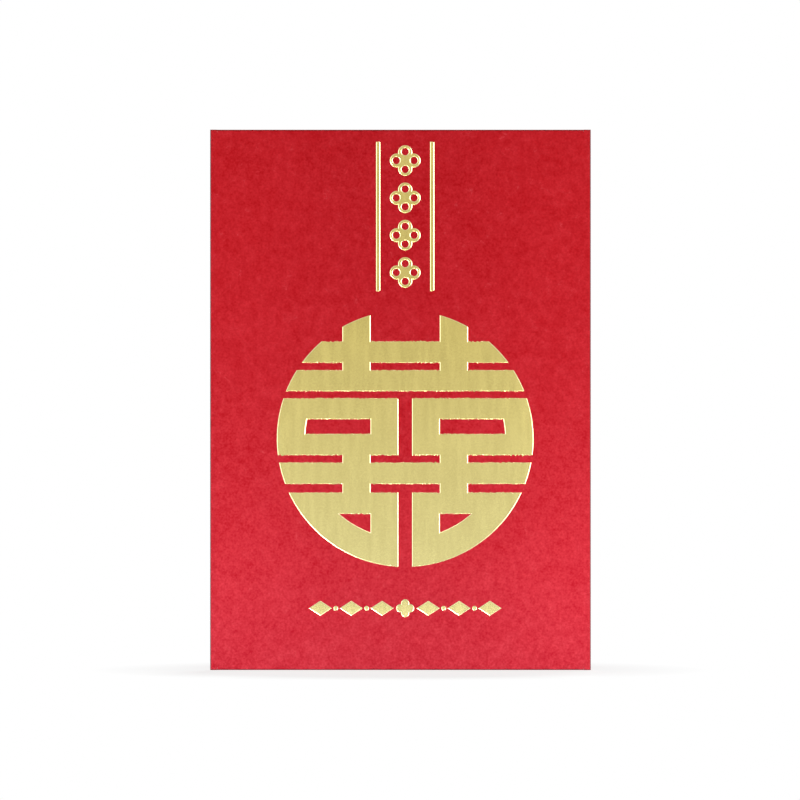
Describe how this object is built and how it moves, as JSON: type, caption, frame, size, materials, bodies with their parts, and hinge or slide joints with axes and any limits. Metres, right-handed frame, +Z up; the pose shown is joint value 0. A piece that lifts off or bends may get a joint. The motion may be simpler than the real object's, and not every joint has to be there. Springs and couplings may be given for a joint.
{
  "type": "red envelope",
  "caption": "Upright red card gift envelope with a pressed gold foil medallion, rules and small blossoms on its front and a folding flap that closes the pocket at the back.",
  "frame": {"origin": "middle of the bottom edge, at half the envelope's thickness", "axes": "+X to the right as the front is read, +Y from the front to the back, +Z up towards the folded top edge"},
  "size_m": [0.081, 0.002, 0.115],
  "materials": {
    "card": "matte",
    "foil": "satin",
    "glue": "satin"
  },
  "bodies": {
    "envelope": {"back_panel": "card", "bottom_flap": "card", "bottom_fold": "card", "bottom_glue": "glue", "column_blossom_1_foil": "foil", "column_blossom_2_foil": "foil", "column_blossom_3_foil": "foil", "column_blossom_4_foil": "foil", "divider_blossom_foil": "foil", "divider_left_dot_1_foil": "foil", "divider_left_dot_2_foil": "foil", "divider_left_lozenge_1_foil": "foil", "divider_left_lozenge_2_foil": "foil", "divider_left_lozenge_3_foil": "foil", "divider_right_dot_1_foil": "foil", "divider_right_dot_2_foil": "foil", "divider_right_lozenge_1_foil": "foil", "divider_right_lozenge_2_foil": "foil", "divider_right_lozenge_3_foil": "foil", "front_panel": "card", "left_fold": "card", "left_rule_foil": "foil", "medallion_base_foil": "foil", "medallion_top_foil": "foil", "right_fold": "card", "right_rule_foil": "foil", "side_glue": "glue", "side_tab": "card"},
    "flap_fold": {"top_fold": "card"},
    "flap": {"closing_flap": "card"}
  },
  "joints": [
    {"name": "fold_crease", "type": "hinge", "parent": "envelope", "child": "flap_fold", "pos_m": [0, -0.00089, 0.11491], "axis": [1, 0, 0], "range_deg": [0, 90]},
    {"name": "flap_crease", "type": "hinge", "parent": "flap_fold", "child": "flap", "pos_m": [0, 0.00089, 0.11491], "axis": [1, 0, 0], "range_deg": [0, 90]}
  ],
  "couplings": [
    {"joint": "flap_crease", "follows": "fold_crease", "ratio": 1}
  ]
}
